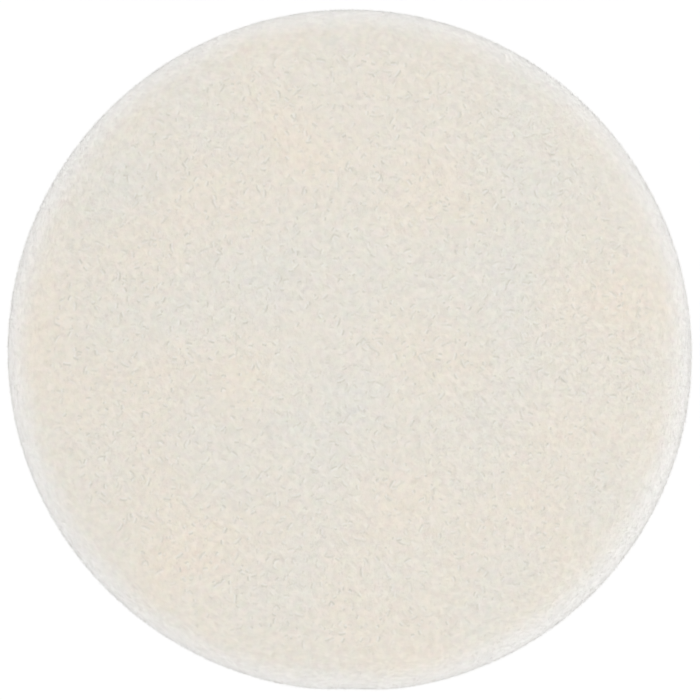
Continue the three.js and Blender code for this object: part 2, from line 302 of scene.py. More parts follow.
def cloth_section(radius, crown):
    """The cloth's outer face under the pile, from the middle over the rim to the raw edge in the seam."""
    depth = CLOTH_DEPTH
    reach = (radius - depth - SEAM_RADIUS, LIP_HEIGHT - FLANGE_FACE)
    return np.vstack([
        crown_curve(radius - RIM_REACH, SHOULDER_HEIGHT - depth, crown, SECTION_STEPS),
        rim_arc(radius, depth, SECTION_STEPS)[1:],
        quarter_arc((SEAM_RADIUS, LIP_HEIGHT), reach, 0, -90, SECTION_STEPS)[1:],
        [(RAW_EDGE_RADIUS, FLANGE_FACE)],
    ])


def band_section():
    """The band's middle line at one end, in the flat layout: its corner at the seam, then under the rim."""
    corner_reach = (BACK_RADIUS + BAND_STAND_OFF - SEAM_RADIUS, LIP_HEIGHT)
    under_reach = (RIM_REACH + BAND_STAND_OFF, SHOULDER_HEIGHT - LIP_HEIGHT + BAND_STAND_OFF)
    tuck = np.linspace(RAW_EDGE_RADIUS, SEAM_RADIUS, BAND_TUCK_STEPS + 1)
    corner = quarter_arc((SEAM_RADIUS, -LIP_HEIGHT), corner_reach, 90, 0, BAND_TURN_STEPS)
    under = quarter_arc((BACK_RADIUS - RIM_REACH, -LIP_HEIGHT), under_reach, 0, -90, BAND_TURN_STEPS)
    return np.column_stack([tuck, 0 * tuck]), corner[1:], under[1:]


def kept_clear(radius, height, beside):
    """Moves places of a section away from the band's end, which lies between the two covers there."""
    line = np.vstack(band_section())
    gap_radius = radius[:, None] - line[:, 0]
    gap_height = height[:, None] - line[:, 1]
    distance = np.hypot(gap_radius, gap_height)
    nearest = np.argmin(distance, axis=1)
    rows = np.arange(len(radius))
    least = np.maximum(distance[rows, nearest], BAND_EASE / 2)
    room = BAND_THICKNESS / 2 + CLEARANCE
    push = np.clip(room - least, 0, None) * beside / least
    return radius + push * gap_radius[rows, nearest], height + push * gap_height[rows, nearest]


# Meshes

def in_scene(name, data):
    piece = bpy.data.objects.new(name, data)
    bpy.context.scene.collection.objects.link(piece)
    return piece


def mesh_piece(name, points, faces):
    mesh = bpy.data.meshes.new(name)
    mesh.from_pydata([tuple(p) for p in points], [], [tuple(f) for f in faces])
    mesh.validate()
    mesh.shade_smooth()
    return in_scene(name, mesh)


def corner_places(mesh):
    places = np.empty(len(mesh.vertices) * 3)
    mesh.vertices.foreach_get("co", places)
    return places.reshape(-1, 3)


def map_corners(mesh, name, places):
    """Gives a mesh a map, from one flat place for each of its corners."""
    corner_of = np.empty(len(mesh.loops), np.int32)
    mesh.loops.foreach_get("vertex_index", corner_of)
    layer = mesh.uv_layers.new(name=name)
    layer.data.foreach_set("uv", places[corner_of].astype(np.float32).ravel())


def grid_faces(rows, columns):
    """Faces of a grid of points in rows."""
    first = (np.arange(rows - 1)[:, None] * columns + np.arange(columns - 1)).ravel()
    return np.column_stack([first, first + 1, first + columns + 1, first + columns])


def disc_grid(cells):
    """An even grid on a disc of radius 1: each point's distance from the middle and its angle."""
    side = np.linspace(-1, 1, cells + 1)
    b, a = np.meshgrid(side, side, indexing="ij")
    wide = np.abs(a) > np.abs(b)
    distance = np.where(wide, a, b)
    other = np.where(wide, b, a)
    turn = np.pi / 4 * other / np.where(distance == 0, 1, distance)
    angle = np.where(wide, turn, np.pi / 2 - turn)
    return distance.ravel(), angle.ravel()


# Node trees

def add_node(tree, kind, inputs=(), **settings):
    """Adds a node. Each input is given by name or number, as a value or as the socket that feeds it."""
    node = tree.nodes.new(kind)
    for name, value in settings.items():
        setattr(node, name, value)
    for key, value in dict(inputs).items():
        if isinstance(value, bpy.types.NodeSocket):
            tree.links.new(value, node.inputs[key])
        else:
            node.inputs[key].default_value = value
    return node


def maths(tree, operation, *values):
    node = add_node(tree, "ShaderNodeMath", enumerate(values), operation=operation)
    return node.outputs[0]


def vectors(tree, operation, *values):
    node = add_node(tree, "ShaderNodeVectorMath", enumerate(values), operation=operation)
    return node.outputs[0]


def scaled(tree, vector, factor):
    node = add_node(tree, "ShaderNodeVectorMath", {0: vector, "Scale": factor}, operation="SCALE")
    return node.outputs[0]


def noise(tree, place, size, detail):
    """Soft noise whose patches have a given size."""
    return add_node(
        tree,
        "ShaderNodeTexNoise",
        {"Vector": scaled(tree, place, maths(tree, "DIVIDE", 1.0, size)), "Scale": 1.0, "Detail": detail},
    )


def new_tree(name, kind, inputs, outputs):
    """A node group with named inputs, as (name, type, value), and named outputs, as (name, type)."""
    tree = bpy.data.node_groups.new(name, kind)
    for label, socket, value in inputs:
        made = tree.interface.new_socket(label, in_out="INPUT", socket_type="NodeSocket" + socket)
        if value is not None:
            made.default_value = value
    for label, socket in outputs:
        tree.interface.new_socket(label, in_out="OUTPUT", socket_type="NodeSocket" + socket)
    return tree, tree.nodes.new("NodeGroupInput").outputs, tree.nodes.new("NodeGroupOutput").inputs


def grown(name, base, tree, **values):
    """What a geometry tree makes of a piece, as a plain mesh piece of its own."""
    modifier = base.modifiers.new(tree.name, "NODES")
    modifier.node_group = tree
    for item in tree.interface.items_tree:
        if item.in_out == "INPUT" and item.name in values:
            modifier[item.identifier] = values[item.name]
    evaluated = base.evaluated_get(bpy.context.evaluated_depsgraph_get())
    mesh = bpy.data.meshes.new_from_object(evaluated)
    base.modifiers.remove(modifier)
    mesh.name = name
    return in_scene(name, mesh)


def random_value(tree, low, high, seed):
    """A different value between two for each point or instance."""
    wide = isinstance(low, tuple)
    inputs = {0: low, 1: high} if wide else {2: low, 3: high}
    node = add_node(
        tree,
        "FunctionNodeRandomValue",
        {**inputs, "Seed": seed},
        data_type="FLOAT_VECTOR" if wide else "FLOAT",
    )
    return node.outputs[0 if wide else 1]


def along(tree, vector, direction):
    """How far a vector reaches along a direction of length 1."""
    node = add_node(tree, "ShaderNodeVectorMath", {0: vector, 1: direction}, operation="DOT_PRODUCT")
    return node.outputs["Value"]


def flattened(tree, vector, normal):
    """The part of a vector that lies along the surface."""
    return vectors(tree, "SUBTRACT", vector, scaled(tree, normal, along(tree, vector, normal)))


def standing(tree, direction, seed):
    """A rotation that stands a thing along a direction, spun at random about it."""
    upright = add_node(tree, "FunctionNodeAlignRotationToVector", {"Vector": direction}, axis="Z")
    spin = add_node(
        tree,
        "FunctionNodeAxisAngleToRotation",
        {"Axis": (0.0, 0.0, 1.0), "Angle": random_value(tree, 0.0, 2 * math.pi, seed)},
    )
    turned = add_node(
        tree,
        "FunctionNodeRotateRotation",
        {"Rotation": upright.outputs[0], "Rotate By": spin.outputs[0]},
        rotation_space="LOCAL",
    )
    return turned.outputs[0]


def scattered(tree, cloth, gap, factor, seed):
    """Points strewn over a cloth, no two closer than a gap."""
    area = maths(tree, "MULTIPLY", gap, gap)
    return add_node(
        tree,
        "GeometryNodeDistributePointsOnFaces",
        {
            "Mesh": cloth,
            "Distance Min": gap,
            "Density Max": maths(tree, "DIVIDE", PLACES_TRIED, area),
            "Density Factor": factor,
            "Seed": seed,
        },
        distribute_method="POISSON",
    ).outputs


def finish_tree(tree, geometry, material, output):
    """Ends a geometry tree with plain geometry that carries its material."""
    real = add_node(tree, "GeometryNodeRealizeInstances", {"Geometry": geometry}).outputs[0]
    painted = add_node(tree, "GeometryNodeSetMaterial", {"Geometry": real, "Material": material})
    tree.links.new(painted.outputs[0], output)


# Pile

def pile_tree():
    """Stands short tapered strands on a cloth. They lean in locks, and each strays a little by itself."""
    tree, given, result = new_tree(
        "Pile",
        "GeometryNodeTree",
        [
            ("Cloth", "Geometry", None),
            ("Gap", "Float", PILE_GAP),
            ("Length", "Float", PILE_LENGTH),
            ("Width", "Float", PILE_WIDTH),
            ("Flatness", "Float", PILE_FLATNESS),
            ("Lean", "Float", PILE_LEAN),
            ("Lock Size", "Float", LOCK_SIZE),
            ("Stray", "Float", PILE_STRAY),
            ("Share", "String", "pile_share"),
            ("Seed", "Int", 0),
            ("Material", "Material", None),
        ],
        [("Pile", "Geometry")],
    )
    share = add_node(tree, "GeometryNodeInputNamedAttribute", {"Name": given["Share"]}, data_type="FLOAT")
    share = share.outputs[0]
    grows = maths(tree, "GREATER_THAN", share, 0.0)
    roots = scattered(tree, given["Cloth"], given["Gap"], grows, given["Seed"])
    normal = roots["Normal"]
    place = add_node(tree, "GeometryNodeInputPosition").outputs[0]

    lock = noise(tree, place, given["Lock Size"], 1.0).outputs["Color"]
    sway = scaled(tree, vectors(tree, "SUBTRACT", lock, (0.5, 0.5, 0.5)), given["Lean"])
    stray = random_value(tree, (-1.0, -1.0, -1.0), (1.0, 1.0, 1.0), given["Seed"])
    sway = vectors(tree, "ADD", sway, scaled(tree, stray, given["Stray"]))
    direction = vectors(tree, "NORMALIZE", vectors(tree, "ADD", normal, flattened(tree, sway, normal)))

    length_seed = maths(tree, "ADD", given["Seed"], 1.0)
    length_share = random_value(tree, LEAST_LENGTH_SHARE, GREATEST_LENGTH_SHARE, length_seed)
    length = maths(tree, "MULTIPLY", maths(tree, "MULTIPLY", given["Length"], share), length_share)
    size = add_node(
        tree,
        "ShaderNodeCombineXYZ",
        {0: given["Width"], 1: maths(tree, "MULTIPLY", given["Width"], given["Flatness"]), 2: length},
    ).outputs[0]
    strand = add_node(
        tree,
        "GeometryNodeMeshCone",
        {"Vertices": 3, "Side Segments": 1, "Radius Top": 0.0, "Radius Bottom": 0.5, "Depth": 1.0},
        fill_type="NGON",
    ).outputs["Mesh"]
    strands = add_node(
        tree,
        "GeometryNodeInstanceOnPoints",
        {
            "Points": roots["Points"],
            "Instance": strand,
            "Rotation": standing(tree, direction, maths(tree, "ADD", given["Seed"], 2.0)),
            "Scale": size,
        },
    ).outputs[0]
    noted = add_node(
        tree,
        "GeometryNodeStoreNamedAttribute",
        {"Geometry": strands, "Name": "cloth_normal", "Value": normal},
        data_type="FLOAT_VECTOR",
        domain="INSTANCE",
    ).outputs[0]
    finish_tree(tree, noted, given["Material"], result["Pile"])
    return tree


# Materials

def new_material(name):
    material = bpy.data.materials.new(name)
    material.use_nodes = True
    tree = material.node_tree
    tree.nodes.clear()
    output = tree.nodes.new("ShaderNodeOutputMaterial")
    shader = tree.nodes.new("ShaderNodeBsdfPrincipled")
    tree.links.new(shader.outputs[0], output.inputs["Surface"])
    return material, tree, shader.inputs


def srgb(colour):
    """A colour written as on a screen, as the light values that a shader takes."""
    shares = np.array(colour) / 255
    light = np.where(shares <= 0.04045, shares / 12.92, ((shares + 0.055) / 1.055) ** 2.4)
    return (*light, 1.0)


def ramp(tree, value, start, end, low, high):
    """Takes a value smoothly from low at the start to high at the end."""
    node = add_node(
        tree,
        "ShaderNodeMapRange",
        {"Value": value, "From Min": start, "From Max": end, "To Min": low, "To Max": high},
        interpolation_type="SMOOTHSTEP",
    )
    return node.outputs[0]


def blended(tree, factor, colour, other):
    node = add_node(tree, "ShaderNodeMix", {0: factor, 6: colour, 7: other}, data_type="RGBA")
    return node.outputs[2]


def mottle_group():
    """A dyed cloth's unevenness: broad warm and cool drifts, small flecks of colour, and a fine grain."""
    tree, given, result = new_tree(
        "Mottle",
        "ShaderNodeTree",
        [
            ("Shade", "Color", srgb(PILE_COLOUR)),
            ("Drift Size", "Float", DRIFT_SIZE),
            ("Drift", "Float", 0.11),
            ("Fleck Size", "Float", FLECK_SIZE),
            ("Fleck", "Float", 0.07),
            ("Grain Size", "Float", GRAIN_SIZE),
            ("Grain", "Float", 0.03),
        ],
        [("Colour", "Color")],
    )
    place = add_node(tree, "ShaderNodeTexCoord").outputs["Object"]
    warmth = maths(tree, "SUBTRACT", noise(tree, place, given["Drift Size"], 1.0).outputs["Fac"], 0.5)
    drift = scaled(tree, (1.0, 0.0, -1.0), maths(tree, "MULTIPLY", warmth, given["Drift"]))
    flecks = noise(tree, place, given["Fleck Size"], 1.0).outputs["Color"]
    fleck = scaled(tree, vectors(tree, "SUBTRACT", flecks, (0.5, 0.5, 0.5)), given["Fleck"])
    speck = noise(tree, place, given["Grain Size"], 1.0).outputs["Fac"]
    speck = ramp(tree, speck, *GRAIN_RANGE, -1.0, 1.0)
    grain = scaled(tree, (1.0, 1.0, 1.0), maths(tree, "MULTIPLY", speck, given["Grain"]))
    change = vectors(tree, "ADD", vectors(tree, "ADD", drift, fleck), grain)
    factor = vectors(tree, "ADD", change, (1.0, 1.0, 1.0))
    tree.links.new(vectors(tree, "MULTIPLY", given["Shade"], factor), result["Colour"])
    return tree


def crease_group():
    """Short bent creases strewn at random, as masks for painted shade: how far a place lies in one, and how
    far at its edge, where a painted highlight goes.
    """
    tree, given, result = new_tree(
        "Creases",
        "ShaderNodeTree",
        [
            ("Spacing", "Float", CREASE_SPACINGS[0]),
            ("Length", "Float", CREASE_SPACINGS[0] * CREASE_LENGTH_SHARE),
            ("Width", "Float", CREASE_WIDTH),
            ("Bow", "Float", CREASE_BOW),
        ],
        [("Crease", "Float"), ("Edge", "Float")],
    )
    place = add_node(tree, "ShaderNodeTexCoord").outputs["Object"]
    cell = scaled(tree, place, maths(tree, "DIVIDE", 1.0, given["Spacing"]))
    spot = add_node(tree, "ShaderNodeTexVoronoi", {"Vector": cell, "Scale": 1.0}, voronoi_dimensions="2D")
    chance = add_node(tree, "ShaderNodeSeparateColor", {0: spot.outputs["Color"]}).outputs
    from_spot = scaled(tree, vectors(tree, "SUBTRACT", cell, spot.outputs["Position"]), given["Spacing"])
    turned = add_node(
        tree,
        "ShaderNodeVectorRotate",
        {"Vector": from_spot, "Angle": maths(tree, "MULTIPLY", chance[0], 2 * math.pi)},
        rotation_type="Z_AXIS",
    ).outputs[0]
    local = add_node(tree, "ShaderNodeSeparateXYZ", {0: turned}).outputs
    length_share = ramp(tree, chance[1], 0.0, 1.0, *HALF_LENGTH_SHARES)
    half_length = maths(tree, "MULTIPLY", given["Length"], length_share)
    along_share = maths(tree, "DIVIDE", local[0], half_length)
    bend = maths(tree, "MULTIPLY", maths(tree, "MULTIPLY", local[0], along_share), given["Bow"])
    across = maths(tree, "ADD", local[1], bend)
    ends = ramp(tree, maths(tree, "ABSOLUTE", along_share), CREASE_TAPER_SHARE, 1.0, 1.0, 0.0)
    strength = maths(tree, "MULTIPLY", ends, maths(tree, "POWER", chance[2], CREASE_FAINTNESS))
    half_width = maths(tree, "MULTIPLY", given["Width"], 0.5)
    for label, shift in (("Crease", 0.0), ("Edge", 1.0)):
        off = maths(tree, "ADD", across, maths(tree, "MULTIPLY", half_width, shift))
        off_share = maths(tree, "DIVIDE", maths(tree, "ABSOLUTE", off), half_width)
        line = ramp(tree, off_share, 0.0, 1.0, 1.0, 0.0)
        tree.links.new(maths(tree, "MULTIPLY", line, strength), result[label])
    return tree


def using(tree, group, **values):
    """Uses a shared group in a material, and gives its outputs."""
    node = tree.nodes.new("ShaderNodeGroup")
    node.node_tree = group
    set_values(node.inputs, **values)
    return node.outputs


def set_values(sockets, **values):
    for name, value in values.items():
        sockets[name.replace("_", " ")].default_value = value


def raised(tree, shader, height, depth, strength):
    """Raises a surface where the height is great."""
    bump = add_node(tree, "ShaderNodeBump", {"Height": height, "Strength": strength, "Distance": depth})
    tree.links.new(bump.outputs[0], shader["Normal"])


def rim_group():
    """How near a place is to the rim, where a paler, greyer painted highlight takes over, and whether it is
    on the face, where the creases lie.
    """
    tree, given, result = new_tree(
        "Rim",
        "ShaderNodeTree",
        [("Start", "Float", RIM_START), ("End", "Float", RIM_END)],
        [("Rim", "Float"), ("Face", "Float")],
    )
    place = add_node(tree, "ShaderNodeTexCoord").outputs["Object"]
    flat = vectors(tree, "MULTIPLY", place, (1.0, 1.0, 0.0))
    radius = add_node(tree, "ShaderNodeVectorMath", {0: flat}, operation="LENGTH").outputs["Value"]
    tree.links.new(ramp(tree, radius, given["Start"], given["End"], 0.0, 1.0), result["Rim"])
    flat_end = maths(tree, "MULTIPLY", given["Start"], FLAT_FACE_SHARE)
    tree.links.new(ramp(tree, radius, flat_end, given["Start"], 1.0, 0.0), result["Face"])
    return tree


mottle = mottle_group()
creases = crease_group()
rim = rim_group()


def velour_material(name, shade):
    """Mottled velour, with painted shade in creases where the pile parts and a painted highlight along
    each. Towards the rim the creases fade and the colour turns to a paler, greyer painted highlight.
    """
    material, tree, shader = new_material(name)
    colour = using(tree, mottle, Shade=srgb(shade))["Colour"]
    near = using(tree, rim)
    for spacing in CREASE_SPACINGS:
        crease = using(tree, creases, Spacing=spacing, Length=CREASE_LENGTH_SHARE * spacing)
        edge = maths(tree, "MULTIPLY", crease["Edge"], near["Face"])
        crease_shade = maths(tree, "MULTIPLY", crease["Crease"], near["Face"])
        # A painted highlight along each crease's edge, then painted shade in the crease
        colour = blended(tree, maths(tree, "MULTIPLY", edge, CREASE_HIGHLIGHT_SHARE), colour, srgb(CREASE_HIGHLIGHT_COLOUR))
        colour = blended(tree, crease_shade, colour, srgb(CREASE_SHADE_COLOUR))
    # A paler, greyer painted highlight at the rim, with little mottle
    rim_highlight = using(tree, mottle, Shade=srgb(RIM_HIGHLIGHT_COLOUR), Drift=0.02, Fleck=0.03, Grain=0.02)["Colour"]
    colour = blended(tree, near["Rim"], colour, rim_highlight)
    tree.links.new(colour, shader["Base Color"])
    set_values(shader, Roughness=0.95, Sheen_Weight=1.0, Sheen_Roughness=0.4)
    set_values(shader, Coat_Weight=0.8, Coat_Roughness=0.5)
    return material


pile_material = velour_material("velour pile", PILE_COLOUR)
cloth_material = velour_material("velour cloth", CLOTH_COLOUR)


def satin_material():
    """Woven satin: long floats of warp that run along the band, each tied down in turn."""
    material, tree, shader = new_material("band satin")
    colour = using(tree, mottle, Shade=srgb(SATIN_COLOUR), Fleck=0.02, Grain=0.01)["Colour"]
    tree.links.new(colour, shader["Base Color"])
    place = add_node(tree, "ShaderNodeTexCoord").outputs["UV"]
    flat = add_node(tree, "ShaderNodeSeparateXYZ", {0: place}).outputs
    warp = maths(tree, "DIVIDE", flat[1], WARP_WIDTH)
    shift = maths(tree, "MULTIPLY", maths(tree, "FLOOR", warp), FLOAT_SHIFT_SHARE)
    weft = maths(tree, "ADD", maths(tree, "DIVIDE", flat[0], FLOAT_LENGTH), shift)
    round_thread = maths(tree, "SINE", maths(tree, "MULTIPLY", maths(tree, "FRACT", warp), math.pi))
    round_float = maths(tree, "SINE", maths(tree, "MULTIPLY", maths(tree, "FRACT", weft), math.pi))
    weave = maths(tree, "MULTIPLY", round_thread, maths(tree, "POWER", round_float, FLOAT_FLATNESS))
    from_middle = maths(tree, "ABSOLUTE", maths(tree, "SUBTRACT", flat[1], BAND_WIDTH / 2))
    selvedge_start = BAND_WIDTH / 2 - SELVEDGE_WIDTH
    selvedge = ramp(tree, from_middle, selvedge_start - SELVEDGE_SLOPE, selvedge_start, 0.0, SELVEDGE_RISE)
    raised(tree, shader, maths(tree, "ADD", weave, selvedge), SATIN_DEPTH, strength=0.8)
    set_values(shader, Roughness=0.3, Sheen_Weight=0.2)
    return material


def thread_material():
    material, tree, shader = new_material("sewing thread")
    colour = using(tree, mottle, Shade=srgb(THREAD_COLOUR))["Colour"]
    tree.links.new(colour, shader["Base Color"])
    place = add_node(tree, "ShaderNodeTexCoord").outputs["Object"]
    fibres = noise(tree, place, FIBRE_SIZE, 2.0).outputs["Fac"]
    raised(tree, shader, fibres, FIBRE_DEPTH, strength=0.4)
    set_values(shader, Roughness=0.6, Sheen_Weight=0.3)
    return material


def foam_material():
    """Open foam: rounded cells of mixed size that sink below the skin, with painted shade down in each
    cell.
    """
    material, tree, shader = new_material("open foam")
    place = add_node(tree, "ShaderNodeTexCoord").outputs["Object"]
    cells = add_node(
        tree, "ShaderNodeTexVoronoi", {"Vector": scaled(tree, place, 1 / FOAM_CELL_SIZE), "Scale": 1.0}
    ).outputs["Distance"]
    wall = ramp(tree, cells, *FOAM_WALL_RANGE, 0.0, 1.0)
    colour = using(tree, mottle, Shade=srgb(FOAM_COLOUR))["Colour"]
    # Painted shade in each cell, the plain foam colour on the walls
    tree.links.new(blended(tree, wall, srgb(FOAM_CELL_SHADE_COLOUR), colour), shader["Base Color"])
    raised(tree, shader, wall, FOAM_CELL_DEPTH, strength=0.8)
    set_values(shader, Roughness=0.9)
    return material


def wadding_material():
    """Carded fibre: long tangled streaks, lighter where they lie on top and painted darker where they lie
    lower, as painted shade.
    """
    material, tree, shader = new_material("fibre wadding")
    place = add_node(tree, "ShaderNodeTexCoord").outputs["Object"]
    tangle = noise(tree, place, TANGLE_SIZE, 2.0).outputs["Color"]
    pulled = vectors(tree, "ADD", place, scaled(tree, tangle, TANGLE_REACH))
    streaks = noise(tree, pulled, STREAK_SIZE, 3.0).outputs["Fac"]
    lying = ramp(tree, streaks, *STREAK_RANGE, 0.0, 1.0)
    # Painted shade where the fibres lie lower
    colour = blended(tree, lying, srgb(LOWER_FIBRE_SHADE_COLOUR), srgb(FIBRE_COLOUR))
    tree.links.new(colour, shader["Base Color"])
    raised(tree, shader, lying, STREAK_DEPTH, strength=0.7)
    set_values(shader, Roughness=1.0, Sheen_Weight=0.4)
    return material


# Covers

def cloth_skin(name, radius, crown, underside, cells):
    """The outer face of one cover, laid over the puff as an even grid, with how long its pile stands."""
    section = cloth_section(radius, crown)
    along_section = np.concatenate([[0], np.cumsum(np.linalg.norm(np.diff(section, axis=0), axis=1))])
    distance, angle = disc_grid(cells)
    reach = np.abs(distance) * along_section[-1]
    angle = angle + np.where(distance < 0, np.pi, 0)
    rho = np.interp(reach, along_section, section[:, 0])
    height = np.interp(reach, along_section, section[:, 1])
    side = -1 if underside else 1
    from_band = np.abs(rho * np.sin(angle)) - BAND_WIDTH / 2
    beside = np.clip((BAND_SIDE_ROOM - from_band) / BAND_SIDE_FADE, 0, 1)
    moved_radius, moved_height = kept_clear(rho, side * height, beside)
    points = placed(around(moved_radius, angle, moved_height))
    faces = grid_faces(cells + 1, cells + 1)
    if underside:
        faces = faces[:, ::-1]
    skin = mesh_piece(name, points, faces)
    to_seam = along_section[-2] - reach
    pile_share = np.clip(to_seam / (2 * LIP_HEIGHT), SEAM_PILE_SHARE, 1) * (to_seam > 0)
    hair_share = np.exp(-(((to_seam - HAIR_MIDDLE) / HAIR_SPREAD) ** 2)) * (to_seam > HAIR_START)
    hair_share[hair_share <= LEAST_HAIR_SHARE] = 0
    for label, share in (("pile_share", pile_share), ("hair_share", hair_share)):
        stored = skin.data.attributes.new(label, "FLOAT", "POINT")
        stored.data.foreach_set("value", share.astype(np.float32))
    return skin, to_seam


def pressed_moves(trial, held):
    """How far a cloth simulation presses each corner of a trial piece, which is blown up like a cushion."""
    trial.data.transform(Matrix.Scale(TRIAL_SCALE, 4))
    before = corner_places(trial.data)
    pins = trial.vertex_groups.new(name="held")
    pins.add([int(corner) for corner in np.flatnonzero(held)], 1.0, "REPLACE")
    cloth = trial.modifiers.new("Cloth", "CLOTH")
    cloth.settings.vertex_group_mass = pins.name
    cloth.settings.use_pressure = True
    cloth.settings.uniform_pressure_force = TRIAL_PRESSURE
    cloth.settings.effector_weights.gravity = 0
    cloth.collision_settings.use_collision = False
    cloth.point_cache.frame_end = TRIAL_FRAMES
    for number in range(1, TRIAL_FRAMES + 1):
        bpy.context.scene.frame_set(number)
    after = corner_places(trial.evaluated_get(bpy.context.evaluated_depsgraph_get()).data)
    bpy.context.scene.frame_set(1)
    bpy.data.objects.remove(trial)
    return (after - before) / TRIAL_SCALE


def refined(grid):
    """Puts one more row and column between each two of a grid of moves."""
    for axis in (0, 1):
        grid = np.moveaxis(grid, axis, 0)
        finer = np.empty((2 * len(grid) - 1, *grid.shape[1:]))
        finer[::2] = grid
        finer[1::2] = (grid[1:] + grid[:-1]) / 2
        grid = np.moveaxis(finer, 0, axis)
    return grid


def press_out(skin, radius, crown, underside):
    """Lets the filling press the cover out between its stitches.

    A cloth simulation on a coarser grid gives the form, which is scaled to one greatest move.
    """
    cells = CLOTH_CELLS // 2
    trial, to_seam = cloth_skin(skin.name + "_trial", radius, crown, underside, cells)
    moves = refined(pressed_moves(trial, to_seam <= 0).reshape(cells + 1, cells + 1, 3)).reshape(-1, 3)
    greatest = np.linalg.norm(moves, axis=1).max()
    places = corner_places(skin.data) + moves * PRESSED_OUT / greatest
    skin.data.vertices.foreach_set("co", places.ravel())
    skin.data.update()


def split_strands(piece, parts, side_up):
    """Cuts one coat of pile into pieces of a handy size that each cover the whole face.

    A strand is shaded by its cloth's direction, turned part of the way to straight up or down.
    """
    mesh = piece.data
    corners = corner_places(mesh).reshape(-1, STRAND_CORNERS, 3)
    normals = np.empty(len(mesh.vertices) * 3, np.float32)
    mesh.attributes["cloth_normal"].data.foreach_get("vector", normals)
    normals = normals.reshape(-1, STRAND_CORNERS, 3)
    normals[..., 2] += side_up * PILE_UPLIGHT
    pieces = []
    for part in range(parts):
        name = f"{piece.name}_{part + 1}"
        pieces.append(strand_piece(name, corners[part::parts], normals[part::parts]))
    bpy.data.objects.remove(piece)
    return pieces


def strand_piece(name, corners, normals):
    faces = STRAND_FACES + STRAND_CORNERS * np.arange(len(corners))[:, None, None]
    mesh = bpy.data.meshes.new(name)
    mesh.vertices.add(len(corners) * STRAND_CORNERS)
    mesh.vertices.foreach_set("co", corners.ravel())
    mesh.loops.add(faces.size)
    mesh.loops.foreach_set("vertex_index", faces.ravel().astype(np.int32))
    mesh.polygons.add(faces.size // 3)
    mesh.polygons.foreach_set("loop_start", np.arange(0, faces.size, 3, dtype=np.int32))
    mesh.update(calc_edges=True)
    mesh.shade_smooth()
    mesh.normals_split_custom_set_from_vertices(normals.reshape(-1, 3))
    seen_from_above = corner_places(mesh)[:, :2] / (2 * FACE_RADIUS + MAP_MARGIN) + 0.5
    map_corners(mesh, "OFBake", seen_from_above)
    mesh.materials.append(pile_material)
    return in_scene(name, mesh)


def cover(side, radius, crown, underside, parts, gap, seed):
    skin, _ = cloth_skin(side + "_cloth", radius, crown, underside, CLOTH_CELLS)
    press_out(skin, radius, crown, underside)
    skin.data.materials.append(cloth_material)
    coat = grown(side + "_pile", skin, pile, Gap=gap, Seed=seed, Material=pile_material)
    hairs = grown(
        side + "_rim_hair",
        skin,
        pile,
        Gap=HAIR_GAP,
        Length=HAIR_LENGTH,
        Width=HAIR_WIDTH,
        Flatness=HAIR_FLATNESS,
        Lean=HAIR_LEAN,
        Stray=HAIR_STRAY,
        Share="hair_share",
        Seed=seed + HAIR_SEED_STEP,
        Material=pile_material,
    )
    side_up = -1 if underside else 1
    for piece in split_strands(coat, parts, side_up) + split_strands(hairs, 1, side_up):
        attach(piece, "root")
    solid = skin.modifiers.new("Thickness", "SOLIDIFY")
    solid.thickness = CLOTH_THICKNESS
    solid.offset = -1
    finish_piece(skin, side + "_cover")
    return skin


def finish_piece(piece, node):
    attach(piece, "root")
    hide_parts(node)


pile = pile_tree()
cover("front", FACE_RADIUS, FACE_CROWN, False, FACE_PARTS, PILE_GAP, 1)
back = cover("back", BACK_RADIUS, -BACK_DISH, True, BACK_PARTS, BACK_PILE_GAP, 2)


# Filling

def turned_piece(name, section, material):
    """A closed piece from a section that starts and ends on the middle line, turned and then arched."""
    angle = np.linspace(0, 2 * np.pi, TURN_STEPS, endpoint=False)
    rings = np.vstack([around(radius, angle, height) for radius, height in section[1:-1]])
    ends = np.array([(0, 0, section[0][1]), (0, 0, section[-1][1])])
    points = placed(np.vstack([rings, ends]))
    faces = []
    step = np.arange(TURN_STEPS)
    following = (step + 1) % TURN_STEPS
    for ring in range(len(section) - 3):
        low = ring * TURN_STEPS
        high = low + TURN_STEPS
        faces += zip(low + step, low + following, high + following, high + step)
    first = len(rings)
    last = first + 1
    high = first - TURN_STEPS
    faces += [(first, b, a) for a, b in zip(step, following)]
    faces += [(last, high + a, high + b) for a, b in zip(step, following)]
    piece = mesh_piece(name, points, faces)
    piece.data.materials.append(material)
    return piece


def foam_section():
    """From the middle of the underside, round the groove that the seam's allowances press, to the top."""
    lower = rim_arc(BACK_RADIUS, FILLING_INSET, SECTION_STEPS) * (1, -1)
    upper = rim_arc(FACE_RADIUS, FILLING_INSET, SECTION_STEPS)[::-1]
    return np.vstack([
        crown_curve(BACK_RADIUS - RIM_REACH, FOAM_BOTTOM, BACK_DISH, SECTION_STEPS),
        lower[lower[:, 1] < -GROOVE_WALL][1:],
        [
            (rim_radius_at(BACK_RADIUS, FILLING_INSET, GROOVE_WALL), -GROOVE_WALL),
            (GROOVE_RADIUS, -GROOVE_WALL),
            (GROOVE_RADIUS, GROOVE_WALL),
            (rim_radius_at(FACE_RADIUS, FILLING_INSET, GROOVE_WALL), GROOVE_WALL),
        ],
        upper[(upper[:, 1] > GROOVE_WALL) & (upper[:, 1] < FOAM_TOP)],
        [(rim_radius_at(FACE_RADIUS, FILLING_INSET, FOAM_TOP), FOAM_TOP)],
        crown_curve(FACE_RADIUS - RIM_REACH, FOAM_TOP, 0, SECTION_STEPS)[::-1],
    ])


